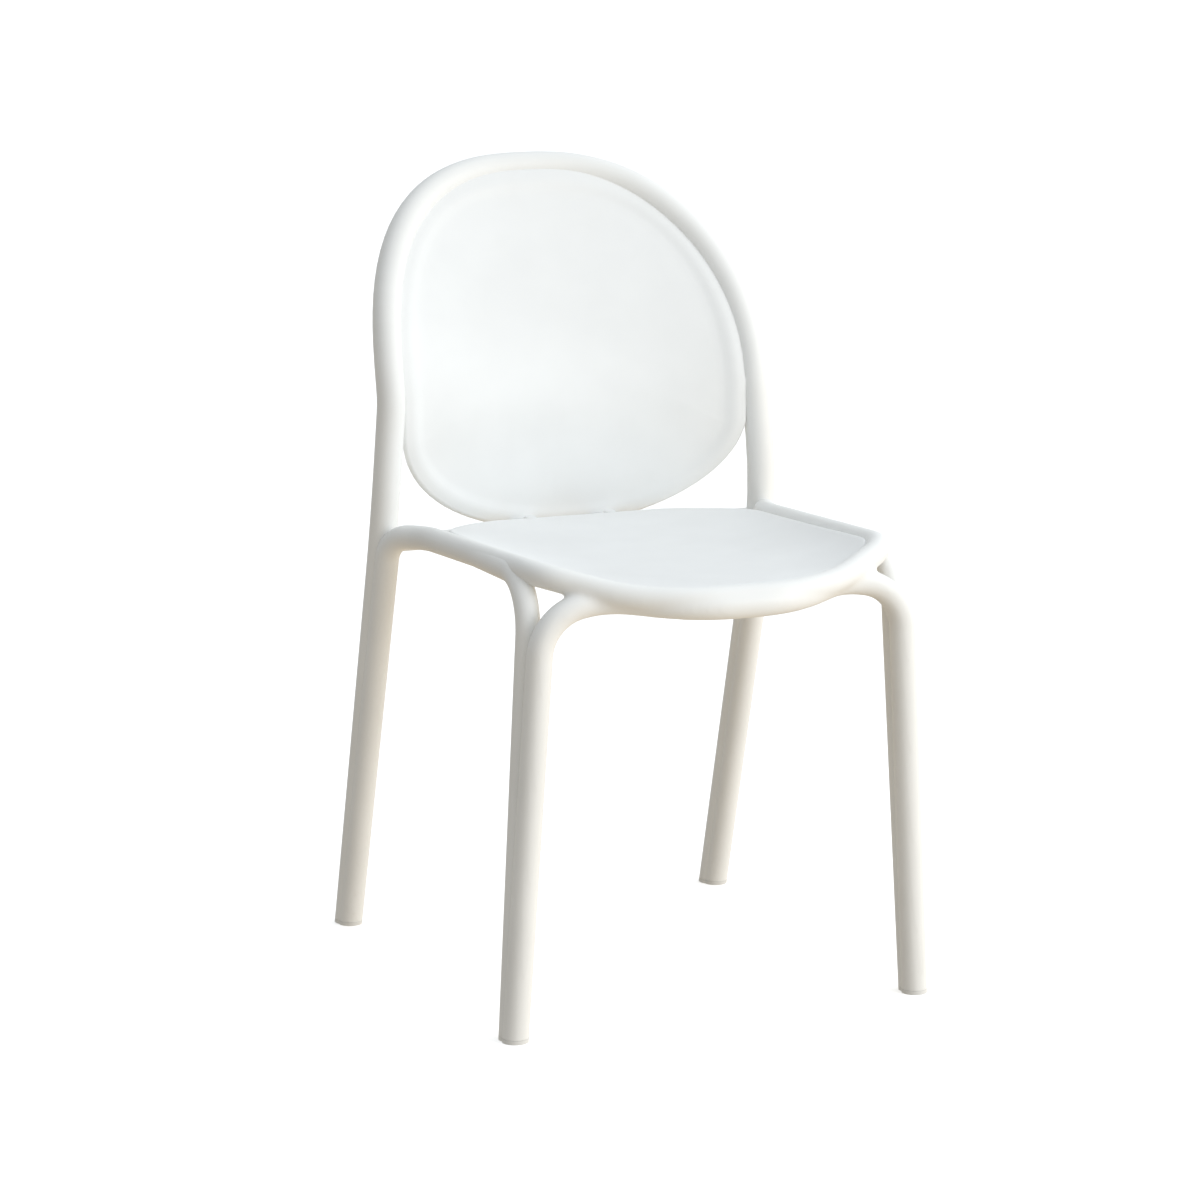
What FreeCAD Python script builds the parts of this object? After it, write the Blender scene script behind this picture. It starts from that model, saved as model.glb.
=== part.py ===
"""Stacking chair: a moulded frame of bent tubes that carries a dished seat panel and an oval back panel.

The frame is a back hoop, a seat frame, a front frame and two front struts. Each rear leg is the hoop
with the seat frame's leg in front of it, and each front leg is the front frame with a strut behind it.
+Z is up, the chair faces -Y, X = 0 is its plane of symmetry, and Z = 0 is the floor.
"""
import FreeCAD, Part
import math
import os
from FreeCAD import Placement, Rotation, Vector

doc = FreeCAD.newDocument("stacking_chair")
sizes = doc.addObject("Spreadsheet::Sheet", "sizes")

# Name, size in mm (or a plain number where the note says so), and what it sets.
DRIVING_SIZES = [
    # Sections of the four kinds of tube
    ("hoop_tube", 29, "outside diameter of the back hoop"),
    ("ring_tube", 25, "outside diameter of the seat frame"),
    ("front_tube", 26, "outside diameter of the front frame"),
    ("strut_tube", 24, "outside diameter of a front strut"),
    ("hollow_wall", 4.5, "wall of the hollow hoop and front frame"),
    # Overall sizes
    ("seat_height", 454, "floor to the side rails' axis at the front of the seat"),
    ("seat_half_width", 187, "centre plane to a side rail's axis"),
    ("seat_front", 273.7, "origin forward to the seat frame's axis at its front"),
    ("upright_back", 133.8, "origin back to the axis of the hoop's uprights"),
    # Back hoop, its heights measured from the seat height
    ("leg_flare", 27, "rear leg's axis outside the side rail's"),
    ("rear_splay", 126.5, "hoop's feet behind its uprights"),
    ("foot_toe_in", 0.5, "hoop's feet inside the top of the rear legs"),
    ("knee_radius", 400, "bend where a rear leg becomes an upright"),
    ("arch_flare", 17, "arch's widest axis outside the side rail's"),
    ("arch_start_rise", 122, "where the arch starts"),
    ("arch_top_rise", 343, "axis at the top of the arch"),
    ("arch_roundness", 2.5, "superellipse exponent of the arch, a plain number"),
    ("recline_rise", 96, "where the hoop starts to lean back"),
    ("recline_depth", 144, "how far the top of the hoop leans back"),
    ("recline_power", 1.75, "how the lean grows with height, a plain number"),
    # Seat frame
    ("leg_gap", 8, "hoop axis to seat frame axis at the rear feet"),
    ("rear_bend_ahead", 10.5, "rear bends ahead of the uprights"),
    ("rear_bend_drop", 14.5, "rear bends below the seat height"),
    ("rear_bend_radius", 36, "bend at the top of a rear leg"),
    ("rail_start_ahead", 54, "where the side rails run straight, ahead of the uprights"),
    ("rail_start_radius", 50, "bend where a side rail starts"),
    ("rail_drop", 11, "side rails' rear end below the seat height"),
    ("seat_corner_back", 72, "front corners behind the seat's front"),
    ("seat_corner_radius", 52, "bend at the front corners"),
    ("shoulder_in", 77, "shoulder inside the side rail"),
    ("shoulder_back", 22, "shoulder behind the seat's front"),
    ("shoulder_rise", 3, "shoulder above the seat frame's front"),
    ("nose_in", 60, "nose inside the shoulder"),
    ("seat_front_drop", 24, "seat frame's front below the seat height"),
    # Front frame and struts
    ("front_foot_flare", 29.3, "front foot outside the side rail"),
    ("front_foot_back", 53, "front feet behind the seat's front"),
    ("front_leg_rake", 9.5, "front leg's top ahead of its foot"),
    ("front_corner_flare", 3.5, "front leg's top bend outside the side rail"),
    ("front_corner_drop", 36, "front leg bends below the seat height"),
    ("front_corner_radius", 51, "bend at the top of a front leg"),
    ("front_shoulder_out", 15, "front rail's shoulder outside the seat frame's"),
    ("front_shoulder_lead", 2, "front rail's shoulder ahead of the leg's bend"),
    ("front_shoulder_rise", 7, "front rail's shoulder above its nose"),
    ("front_rail_lead", 5, "front rail's axis ahead of the seat frame's"),
    ("front_rail_drop", 7, "front rail's axis below the seat frame's"),
    ("strut_gap", 10, "front tube axis to strut axis at the front feet"),
    ("strut_gap_top", 26, "the same at the top of the front legs"),
    ("strut_toe_out", 0.7, "strut's foot outside the front leg's"),
    ("strut_flare", 4, "strut's bend outside and below the front leg's line"),
    ("strut_bend_radius", 56, "bend at the top of a strut"),
    ("strut_share", 0.45, "where a strut meets the straight rail, a share of its length"),
    # Panels
    ("panel_thickness", 6, "thickness of both panels"),
    ("panel_inset", 9, "panel edge inside the axis of the tube that holds it"),
    ("panel_proud", 9.5, "panel face above the axis of the tube that holds it"),
    ("seat_nose_proud", 1, "seat face's front edge above the flush line"),
    ("seat_fall", 5, "seat's rear edge above its front edge, on the centre line"),
    ("seat_hollow", 6, "hollow of the seat along its centre line"),
    ("seat_edge_power", 4, "how late the seat rises to the rails, a plain number"),
    ("seat_overhang", 6.5, "seat panel's rear edge behind the uprights' axis"),
    ("seat_rear_taper", 6, "seat panel's rear corners inside its side edges"),
    ("seat_rear_radius", 95, "rear corners of the seat panel"),
    ("back_dish", 30, "depth of the back panel's hollow"),
    ("back_tail", 28, "how far the back panel's lower edge sweeps back"),
    ("back_tail_power", 1.2, "how that sweep grows downwards, a plain number"),
    ("back_bottom_drop", 31, "lowest point of the back panel below the seat height"),
    ("back_widest_rise", 87, "where the back panel is widest"),
    # Rear crossbar
    ("crossbar_depth", 46, "fore-and-aft size of the crossbar"),
    ("crossbar_height", 12, "thickness of the crossbar"),
    ("crossbar_drop", 19, "top of the crossbar below the seat height"),
    ("crossbar_back", 7.5, "centre of the crossbar behind the uprights' axis"),
    # Fastenings and feet
    ("lug_radius", 11, "radius of the screw lugs on the frame"),
    ("lug_thickness", 6, "thickness of the screw lugs"),
    ("lug_reach", 18, "tube axis to lug centre"),
    ("seat_lug_drop", 4, "seat lugs below the seat frame's axis"),
    ("back_lug_back", 10, "back lugs behind the hoop's axis"),
    ("crossbar_screw_step", 14, "crossbar's centre line to its rows of screws"),
    ("boss_radius", 6.5, "radius of the panels' screw bosses"),
    ("back_foot_half", 14, "half the width of the back panel's feet"),
    ("back_foot_height", 8, "height of the back panel's feet"),
    ("screw_shank", 4, "diameter of a screw's shank"),
    ("screw_head", 8.5, "diameter of a screw's head"),
    ("head_height", 2.8, "height of a screw's head"),
    ("screw_bite", 7, "length of screw inside a boss"),
    ("glide_thickness", 4, "sole of a glide"),
    ("glide_spigot", 20, "length of a glide's spigot inside its tube"),
]
for row, (alias, value, note) in enumerate(DRIVING_SIZES, start=1):
    sizes.set(f"A{row}", alias)
    sizes.set(f"B{row}", str(value))
    sizes.set(f"C{row}", note)
    sizes.setAlias(f"B{row}", alias)
doc.recompute()


def size(alias):
    """A driving dimension, read from the sheet."""
    return float(sizes.get(alias))


def above_seat(alias):
    """Height above the floor of a size measured up from the seat height."""
    return size("seat_height") + size(alias)


def outside_rail(alias):
    """Distance from the centre plane of a size measured outwards from a side rail."""
    return size("seat_half_width") + size(alias)


def behind_front(alias):
    """Fore-and-aft place of a size measured back from the seat's front."""
    return size(alias) - size("seat_front")


# ---------------------------------------------------------------- routes

def half_turn(corners, i):
    """Half the angle that a route turns at a corner."""
    before, corner, after = corners[i - 1], corners[i], corners[(i + 1) % len(corners)]
    return (math.pi - (before - corner).getAngle(after - corner)) / 2


def bend_reach(corners, radii, i):
    """How far a bend reaches along its runs. Without a radius it takes what its neighbours leave."""
    if radii[i]:
        return radii[i] * math.tan(half_turn(corners, i))
    rooms = []
    for j in (i - 1, (i + 1) % len(corners)):
        run = (corners[j] - corners[i]).Length
        taken = radii[j] * math.tan(half_turn(corners, j)) if radii[j] else run / 2
        rooms.append(0.9 * (run - taken))
    return min(rooms)


def route(corners, radii, closed=False):
    """Straight runs joined by tangent arcs. A radius of None is as large as the corner allows."""
    count = len(corners)
    bends = range(count) if closed else range(1, count - 1)
    edges = []
    pen = None if closed else corners[0]
    first = None
    for i in bends:
        before, corner, after = corners[i - 1], corners[i], corners[(i + 1) % count]
        a = (before - corner).normalize()
        b = (after - corner).normalize()
        turn = 2 * half_turn(corners, i)
        reach = bend_reach(corners, radii, i)
        radius = reach / math.tan(turn / 2)
        start = corner + a * reach
        end = corner + b * reach
        middle = corner + (a + b).normalize() * (radius / math.cos(turn / 2) - radius)
        if pen is None:
            first = start
        else:
            edges.append(Part.LineSegment(pen, start).toShape())
        edges.append(Part.Arc(start, middle, end).toShape())
        pen = end
    edges.append(Part.LineSegment(pen, first if closed else corners[-1]).toShape())
    return Part.Wire(edges)


def mirrored(point):
    """The point on the other side of the chair."""
    return Vector(-point.x, point.y, point.z)


def both_sides(half, centre=()):
    """A symmetric list of corners from one side's, with any corners on the centre plane between."""
    return half + list(centre) + [mirrored(p) for p in reversed(half)]


def below_floor(foot, next_corner):
    """A leg's start, carried on past the floor so that the tube is whole where it is trimmed."""
    run = foot - next_corner
    return foot + run * (FOOT_OVERRUN / run.Length)


def inset_outline(corners, inset):
    """Plan corners moved inwards by the inset, towards the left of the way they run."""
    moved = []
    for i in range(1, len(corners) - 1):
        a = (corners[i] - corners[i - 1]).normalize()
        b = (corners[i + 1] - corners[i]).normalize()
        left = Vector(-(a.y + b.y), a.x + b.x, 0).normalize()
        slope = Vector(-a.y, a.x, 0).dot(left)
        moved.append(corners[i] + left * (inset / slope))
    return moved


FOOT_OVERRUN = 40
ARCH_STEPS = 8
LOWER_STEPS = 5
FACE_STEPS = 14
MARGIN = 20


def lean(height):
    """Fore-and-aft place of the hoop's axis at a height on the uprights or the arch."""
    start = above_seat("recline_rise")
    rise = (height - start) / (above_seat("arch_top_rise") - start)
    return size("upright_back") + size("recline_depth") * max(rise, 0) ** size("recline_power")


def arch_corner(step, half_width, start, top):
    """One corner of a superellipse arch, as x and height."""
    angle = math.pi / 2 * step / ARCH_STEPS
    power = 2 / size("arch_roundness")
    x = half_width * max(math.cos(angle), 0) ** power if step < ARCH_STEPS else 0
    return x, start + (top - start) * math.sin(angle) ** power


def hoop_corners():
    """One side of the hoop: foot, knee and arch, up to the corner beside the top."""
    side = outside_rail("leg_flare")
    knee = Vector(side, size("upright_back"), size("seat_height"))
    foot = Vector(side - size("foot_toe_in"), size("upright_back") + size("rear_splay"), 0)
    half = [below_floor(foot, knee), knee]
    for step in range(ARCH_STEPS):
        x, z = arch_corner(step, outside_rail("arch_flare"), above_seat("arch_start_rise"),
                           above_seat("arch_top_rise"))
        half.append(Vector(x, lean(z), z))
    return half


def ring_corners():
    """One side of the seat frame: rear foot, rear bend, side rail, front corner, shoulder and nose."""
    top = size("seat_height")
    side = outside_rail("leg_flare")
    foot = Vector(side, size("upright_back") + size("rear_splay") - size("leg_gap"), 0)
    bend = Vector(side - 1, size("upright_back") - size("rear_bend_ahead"), top - size("rear_bend_drop"))
    rail = Vector(size("seat_half_width") + 1, size("upright_back") - size("rail_start_ahead"),
                  top - size("rail_drop"))
    corner = Vector(size("seat_half_width"), behind_front("seat_corner_back"), top)
    front_z = top - size("seat_front_drop")
    shoulder_x = size("seat_half_width") - size("shoulder_in")
    shoulder = Vector(shoulder_x, behind_front("shoulder_back"), front_z + size("shoulder_rise"))
    nose = Vector(shoulder_x - size("nose_in"), -size("seat_front"), front_z)
    return [below_floor(foot, bend), bend, rail, corner, shoulder, nose]


def front_leg_point(height):
    """The axis of a front leg at a height, on the right."""
    top = size("seat_height") - size("front_corner_drop")
    foot = Vector(outside_rail("front_foot_flare"), behind_front("front_foot_back"), 0)
    corner = Vector(outside_rail("front_corner_flare"), foot.y - size("front_leg_rake"), top)
    return foot + (corner - foot) * (height / top)


def front_corners():
    """One side of the front frame: foot, top bend, shoulder and nose."""
    corner = front_leg_point(size("seat_height") - size("front_corner_drop"))
    nose_y = -size("seat_front") - size("front_rail_lead")
    front_z = size("seat_height") - size("seat_front_drop") - size("front_rail_drop")
    ring_shoulder_x = size("seat_half_width") - size("shoulder_in")
    shoulder = Vector(ring_shoulder_x + size("front_shoulder_out"), corner.y - size("front_shoulder_lead"),
                      front_z + size("front_shoulder_rise"))
    nose = Vector(ring_shoulder_x - size("nose_in"), nose_y, front_z)
    return [below_floor(front_leg_point(0), corner), corner, shoulder, nose]


def strut_corners():
    """A right-hand strut: foot, top bend and the point on the rail's axis where it ends."""
    foot = front_leg_point(0) + Vector(size("strut_toe_out"), size("strut_gap"), 0)
    level = front_leg_point(size("seat_height"))
    bend = level + Vector(size("strut_flare"), size("strut_gap_top"), -size("strut_flare"))
    _, _, rail, corner = ring_corners()[:4]
    merge = rail + (corner - rail) * size("strut_share")
    return [below_floor(foot, bend), bend, merge]


ARCH_TOP = above_seat("arch_top_rise")
ARCH_START = above_seat("arch_start_rise")
ARCH_HALF = outside_rail("arch_flare")
HOOP_TOP = Vector(0, lean(ARCH_TOP), ARCH_TOP)
HOOP = both_sides(hoop_corners(), [HOOP_TOP])
RING = both_sides(ring_corners())
FRONT = both_sides(front_corners())
STRUT = {"right": strut_corners(), "left": [mirrored(p) for p in strut_corners()]}


def hoop_radii():
    radii = [None] * len(HOOP)
    radii[1] = radii[-2] = size("knee_radius")
    return radii


def ring_radii():
    half = [None, size("rear_bend_radius"), size("rail_start_radius"), size("seat_corner_radius"), None, None]
    return half + half[::-1]


def front_radii():
    half = [None, size("front_corner_radius"), None, None]
    return half + half[::-1]


# ---------------------------------------------------------------- document objects

def path(name, wire):
    """A wire kept in the document as the path of a sweep."""
    feature = doc.addObject("Part::Feature", name)
    feature.Shape = wire
    return feature


def swept(name, spine, corners, radius_rule):
    """A round bar along a path, its radius bound to the sheet."""
    section = doc.addObject("Part::Circle", name + "_section")
    section.setExpression("Radius", radius_rule)
    along = (corners[1] - corners[0]).normalize()
    section.Placement = Placement(corners[0], Rotation(Vector(0, 0, 1), along))
    bar = doc.addObject("Part::Sweep", name)
    bar.Sections = [section]
    bar.Spine = (spine, [f"Edge{i + 1}" for i in range(len(spine.Shape.Edges))])
    bar.Solid = True
    bar.Frenet = False
    return bar


def block(name, low, high):
    """A box between two corners."""
    box = doc.addObject("Part::Box", name)
    box.Length, box.Width, box.Height = high - low
    box.Placement = Placement(low, Rotation())
    return box


def pin(name, base, axis, radius_rule, length):
    """A cylinder from a base point along an axis, its radius bound to the sheet."""
    cylinder = doc.addObject("Part::Cylinder", name)
    cylinder.setExpression("Radius", radius_rule)
    cylinder.Height = length
    cylinder.Placement = Placement(base, Rotation(Vector(0, 0, 1), axis))
    return cylinder


def fused(name, shapes):
    body = doc.addObject("Part::MultiFuse", name)
    body.Shapes = shapes
    return body


def common(name, shapes):
    body = doc.addObject("Part::MultiCommon", name)
    body.Shapes = shapes
    return body


def cut(name, base, tool):
    body = doc.addObject("Part::Cut", name)
    body.Base = base
    body.Tool = tool
    return body


def group(name, members):
    """Identical pieces kept as separate solids of one node."""
    compound = doc.addObject("Part::Compound", name)
    compound.Links = members
    return compound


# Round bars of full section, before they are trimmed to each other
hoop_path = path("hoop_path", route(HOOP, hoop_radii()))
ring_path = path("ring_path", route(RING, ring_radii()))
front_path = path("front_path", route(FRONT, front_radii()))
hoop_bar = swept("hoop_bar", hoop_path, HOOP, "<<sizes>>.hoop_tube / 2")
hoop_core = swept("hoop_core", hoop_path, HOOP, "<<sizes>>.hoop_tube / 2 - <<sizes>>.hollow_wall")
ring_bar = swept("ring_bar", ring_path, RING, "<<sizes>>.ring_tube / 2")
front_bar = swept("front_bar", front_path, FRONT, "<<sizes>>.front_tube / 2")
front_core = swept("front_core", front_path, FRONT, "<<sizes>>.front_tube / 2 - <<sizes>>.hollow_wall")
strut_bar = {}
for side, corners in STRUT.items():
    spine = path(side + "_strut_path", route(corners, [None, size("strut_bend_radius"), None]))
    strut_bar[side] = swept(side + "_strut_bar", spine, corners, "<<sizes>>.strut_tube / 2")

REACH = 2 * outside_rail("leg_flare")
GLIDE = size("glide_thickness")
under_glides = block("under_glides", Vector(-REACH, -REACH, -2 * FOOT_OVERRUN), Vector(REACH, REACH, GLIDE))


# ---------------------------------------------------------------- screws and their lugs

def ring_height(y):
    """Height of a side rail's axis at a fore-and-aft place."""
    rail, corner = ring_corners()[2:4]
    return rail.z + (corner.z - rail.z) * (y - rail.y) / (corner.y - rail.y)


def seat_top(x, y):
    """Height of the seat panel's face: gently hollow in the middle, rising to the side rails."""
    side = ring_height(y) + size("panel_proud")
    front = size("seat_height") - size("seat_front_drop") + size("panel_proud") + size("seat_nose_proud")
    share = (y + size("seat_front")) / (SEAT_REAR + size("seat_front"))
    centre = front + size("seat_fall") * share
    centre -= size("seat_hollow") * math.sin(math.pi * min(max(share, 0), 1))
    across = abs(x) / (size("seat_half_width") - size("panel_inset"))
    return centre + (side - centre) * across ** size("seat_edge_power")


def lean_slope(height):
    """How much the hoop's axis moves back for each unit of height."""
    step = 1
    return (lean(height) - lean(height - step)) / step


def back_front(x, z):
    """Fore-and-aft place of the back panel's face: hollow across, its lower edge swept back."""
    widest = above_seat("back_widest_rise")
    proud = size("panel_proud") * math.hypot(1, lean_slope(z))
    across = 1 - (x / ARCH_HALF) ** 2
    fade = 1 - (max(z - widest, 0) / (ARCH_TOP - widest)) ** 4
    start = above_seat("recline_rise")
    sweep = max(start - z, 0) / (start - BACK_BOTTOM)
    tail = size("back_tail") * sweep ** size("back_tail_power")
    return lean(z) - proud + size("back_dish") * across * fade + tail


SEAT_REAR = size("upright_back") + size("seat_overhang")
BACK_BOTTOM = size("seat_height") - size("back_bottom_drop")
CROSSBAR_Y = size("upright_back") + size("crossbar_back")
CROSSBAR_TOP = size("seat_height") - size("crossbar_drop")
SIDE_LUG_Y = (60, -40, -140)
FRONT_LUG_X = 50
BACK_LUG_STEPS = (1, 4)
BACK_FOOT_X = 45
SEAT_FOOT_X = 115
UP = Vector(0, 0, 1)
BACK = Vector(0, 1, 0)


def seat_lug_centres():
    """Top centres of the lugs that stand inside the seat frame, under the seat panel."""
    centres = []
    reach = size("lug_reach")
    for y in SIDE_LUG_Y:
        x = size("seat_half_width") - reach
        z = ring_height(y) - size("seat_lug_drop")
        centres += [Vector(x, y, z), Vector(-x, y, z)]
    front_z = size("seat_height") - size("seat_front_drop") - size("seat_lug_drop")
    for x in (FRONT_LUG_X, -FRONT_LUG_X):
        centres.append(Vector(x, reach - size("seat_front"), front_z))
    return centres


def back_lug_centres():
    """Front centres of the lugs that stand inside the hoop, behind the back panel."""
    reach = size("lug_reach")
    places = [arch_corner(step, ARCH_HALF - reach, ARCH_START, ARCH_TOP - reach) for step in BACK_LUG_STEPS]
    places += [(-x, z) for x, z in places]
    places.append((0, ARCH_TOP - reach))
    return [Vector(x, lean(z) + size("back_lug_back"), z) for x, z in places]


def crossbar_centres(x, y):
    return [Vector(x, y, CROSSBAR_TOP), Vector(-x, y, CROSSBAR_TOP)]


def make_screws(name, faces, axis, grip):
    """Screws through a lug or bar of the given grip into a boss that stands on each face."""
    shanks = []
    screws = []
    for i, face in enumerate(faces):
        under = face - axis * grip
        shank = pin(f"{name}_shank_{i}", under, axis, "<<sizes>>.screw_shank / 2", grip + size("screw_bite"))
        head = pin(f"{name}_head_{i}", under - axis * size("head_height"), axis,
                   "<<sizes>>.screw_head / 2", size("head_height"))
        shanks.append(shank)
        screws.append(fused(f"{name}_{i}", [shank, head]))
    return fused(name + "_holes", shanks), group(name, screws)


def make_lugs(name, faces, axis):
    """Round screw lugs whose front faces are the given points."""
    depth = size("lug_thickness")
    return [pin(f"{name}_{i}", face - axis * depth, axis, "<<sizes>>.lug_radius", depth)
            for i, face in enumerate(faces)]


seat_faces = seat_lug_centres()
back_faces = back_lug_centres()
seat_feet = crossbar_centres(SEAT_FOOT_X, CROSSBAR_Y - size("crossbar_screw_step"))
back_feet = crossbar_centres(BACK_FOOT_X, CROSSBAR_Y + size("crossbar_screw_step"))
seat_holes, seat_lug_screws = make_screws("seat_lug_screws", seat_faces, UP, size("lug_thickness"))
back_holes, back_lug_screws = make_screws("back_lug_screws", back_faces, -BACK, size("lug_thickness"))
feet_holes, crossbar_screws = make_screws("crossbar_screws", seat_feet + back_feet, UP,
                                          size("crossbar_height"))

# ---------------------------------------------------------------- frame

hoop_with_lugs = fused("hoop_with_lugs", [hoop_bar] + make_lugs("back_lug", back_faces, -BACK))
hoop_voids = fused("hoop_voids", [hoop_core, back_holes, under_glides])
back_hoop = cut("back_hoop", hoop_with_lugs, hoop_voids)

ring_with_lugs = fused("ring_with_lugs", [ring_bar] + make_lugs("seat_lug", seat_faces, UP))
ring_trims = fused("ring_trims", [hoop_bar, front_bar, seat_holes, under_glides])
seat_frame = cut("seat_frame", ring_with_lugs, ring_trims)

front_voids = fused("front_voids", [front_core, under_glides])
front_frame = cut("front_frame", front_bar, front_voids)

struts = {}
for side, bar in strut_bar.items():
    trims = fused(side + "_strut_trims", [front_bar, ring_bar, under_glides])
    struts[side] = cut(side + "_front_strut", bar, trims)

bar_end = outside_rail("leg_flare")
bar_low = Vector(-bar_end, CROSSBAR_Y - size("crossbar_depth") / 2, CROSSBAR_TOP - size("crossbar_height"))
bar_high = Vector(bar_end, CROSSBAR_Y + size("crossbar_depth") / 2, CROSSBAR_TOP)
crossbar_blank = block("crossbar_blank", bar_low, bar_high)
crossbar_trims = fused("crossbar_trims", [hoop_bar, ring_bar, feet_holes])
rear_crossbar = cut("rear_crossbar", crossbar_blank, crossbar_trims)


# ---------------------------------------------------------------- panels

def face_grid(across, along, place):
    """A smooth face through a grid of points given by place(a, b)."""
    rows = [[place(a, b) for b in along] for a in across]
    surface = Part.BSplineSurface()
    surface.interpolate(rows)
    return surface.toShape()


def steps(low, high, count):
    return [low + (high - low) * i / count for i in range(count + 1)]


def panel(name, face, through, outline, sweep):
    """A sheet of even thickness behind a face, trimmed to an outline that is swept right through it."""
    feature = doc.addObject("Part::Feature", name)
    feature.Shape = face.extrude(through).common(Part.Face(outline).extrude(sweep))
    return feature


def seat_outline():
    """Plan outline of the seat panel, inside the seat frame's axis."""
    plan = [Vector(p.x, p.y, 0) for p in ring_corners()[2:]]
    edge = inset_outline(plan + [mirrored(plan[-1])], -size("panel_inset"))
    rear = Vector(edge[0].x - size("seat_rear_taper"), SEAT_REAR, 0)
    half = [rear] + edge
    corners = half + [mirrored(p) for p in reversed(half)]
    half_radii = [size("seat_rear_radius"), size("seat_corner_radius") - size("panel_inset")]
    half_radii += [None] * (len(half) - 2)
    return route(corners, half_radii + half_radii[::-1], closed=True)


def back_outline():
    """Front outline of the back panel: an arch inside the hoop above a half ellipse.

    The hoop's top leans back at about 45 degrees, so seen from the front its panel reaches the axis.
    """
    half_width = ARCH_HALF - size("panel_inset")
    widest = above_seat("back_widest_rise")
    half = []
    for step in range(LOWER_STEPS):
        angle = math.pi / 2 * (LOWER_STEPS - step) / LOWER_STEPS
        x = half_width * math.cos(angle) if step else 0
        half.append(Vector(x, 0, widest - (widest - BACK_BOTTOM) * math.sin(angle)))
    for step in range(1, ARCH_STEPS + 1):
        x, z = arch_corner(step, half_width, ARCH_START, ARCH_TOP)
        half.append(Vector(x, 0, z))
    corners = half + [mirrored(p) for p in reversed(half[1:-1])]
    return route(corners, [None] * len(corners), closed=True)


half_seat = size("seat_half_width") + MARGIN
seat_face = face_grid(steps(-half_seat, half_seat, FACE_STEPS),
                      steps(-size("seat_front") - MARGIN, SEAT_REAR + MARGIN, FACE_STEPS),
                      lambda x, y: Vector(x, y, seat_top(x, y)))
seat_plan = seat_outline()
seat_sheet = panel("seat_sheet", seat_face, UP * -size("panel_thickness"), seat_plan,
                   UP * 2 * size("seat_height"))

half_back = ARCH_HALF + MARGIN
back_face = face_grid(steps(-half_back, half_back, FACE_STEPS),
                      steps(BACK_BOTTOM - MARGIN, ARCH_TOP + MARGIN, FACE_STEPS),
                      lambda x, z: Vector(x, back_front(x, z), z))
back_plan = back_outline()
back_plan.translate(Vector(0, -REACH, 0))
back_sheet = panel("back_sheet", back_face, BACK * size("panel_thickness"), back_plan, BACK * 2 * REACH)

seat_bosses = []
for i, face in enumerate(seat_faces + seat_feet):
    length = seat_top(face.x, face.y) - size("panel_thickness") / 2 - face.z
    seat_bosses.append(pin(f"seat_boss_{i}", face, UP, "<<sizes>>.boss_radius", length))
back_bosses = []
for i, face in enumerate(back_faces):
    length = face.y - back_front(face.x, face.z) - size("panel_thickness") / 2
    back_bosses.append(pin(f"back_boss_{i}", face, -BACK, "<<sizes>>.boss_radius", length))
for i, foot in enumerate(back_feet):
    half_foot = size("back_foot_half")
    tall = size("back_foot_height")
    panel_y = back_front(BACK_FOOT_X, foot.z + tall / 2) + size("panel_thickness") / 2
    low = foot - Vector(half_foot, size("boss_radius"), 0)
    high = Vector(foot.x + half_foot, panel_y, foot.z + tall)
    back_bosses.append(block(f"back_foot_{i}", low, high))

seat_blank = fused("seat_blank", [seat_sheet] + seat_bosses)
seat_trims = fused("seat_trims", [ring_bar, front_bar, seat_holes, feet_holes])
seat_panel = cut("seat_panel", seat_blank, seat_trims)
back_blank = fused("back_blank", [back_sheet] + back_bosses)
back_trims = fused("back_trims", [hoop_bar, back_holes, feet_holes])
back_panel = cut("back_panel", back_blank, back_trims)


# ---------------------------------------------------------------- glides

def glide(name, bars, core, x_sign, y_sign):
    """A foot's sole under its tubes, with a spigot that fills the hollow one."""
    near = Vector(0, 0, 0)
    sole_far = Vector(x_sign * REACH, y_sign * REACH, GLIDE)
    plug_far = Vector(x_sign * REACH, y_sign * REACH, GLIDE + size("glide_spigot"))
    corner = lambda pick, far: Vector(pick(near.x, far.x), pick(near.y, far.y), pick(near.z, far.z))
    sole_box = block(name + "_sole_box", corner(min, sole_far), corner(max, sole_far))
    plug_box = block(name + "_plug_box", corner(min, plug_far), corner(max, plug_far))
    sole = common(name + "_sole", [fused(name + "_bars", bars), sole_box])
    plug = common(name + "_plug", [core, plug_box])
    return fused(name, [sole, plug])


glides = []
for side, x_sign in (("left", -1), ("right", 1)):
    glides.append(glide(side + "_front_glide", [front_bar, strut_bar[side]], front_core, x_sign, -1))
    glides.append(glide(side + "_rear_glide", [hoop_bar, ring_bar], hoop_core, x_sign, 1))

# ---------------------------------------------------------------- check and write

NODES = [back_hoop, seat_frame, front_frame, struts["left"], struts["right"], rear_crossbar, seat_panel,
         back_panel, seat_lug_screws, back_lug_screws, crossbar_screws] + glides
NAMES = {"seat_lug_screws": "seat_panel_screws", "back_lug_screws": "back_panel_screws"}
for node in NODES:
    node.Label = NAMES.get(node.Name, node.Name)

doc.recompute()
failed = [o.Name for o in doc.Objects if "Invalid" in o.State or "Error" in o.State]
if failed:
    raise RuntimeError("objects that did not build: " + ", ".join(failed))

os.makedirs("parts", exist_ok=True)
for node in NODES:
    shape = node.Shape
    if shape.isNull() or not shape.isValid() or not shape.Solids:
        raise RuntimeError(node.Label + " has no valid solid")
    shape.exportStep(f"parts/{node.Label}.step")
    box = shape.BoundBox
    print(f"{node.Label:22s} solids {len(shape.Solids):2d}  volume {shape.Volume / 1000:8.1f} cm3  "
          f"x {box.XMin:7.1f} {box.XMax:7.1f}  y {box.YMin:7.1f} {box.YMax:7.1f}  "
          f"z {box.ZMin:6.1f} {box.ZMax:6.1f}")
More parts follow.
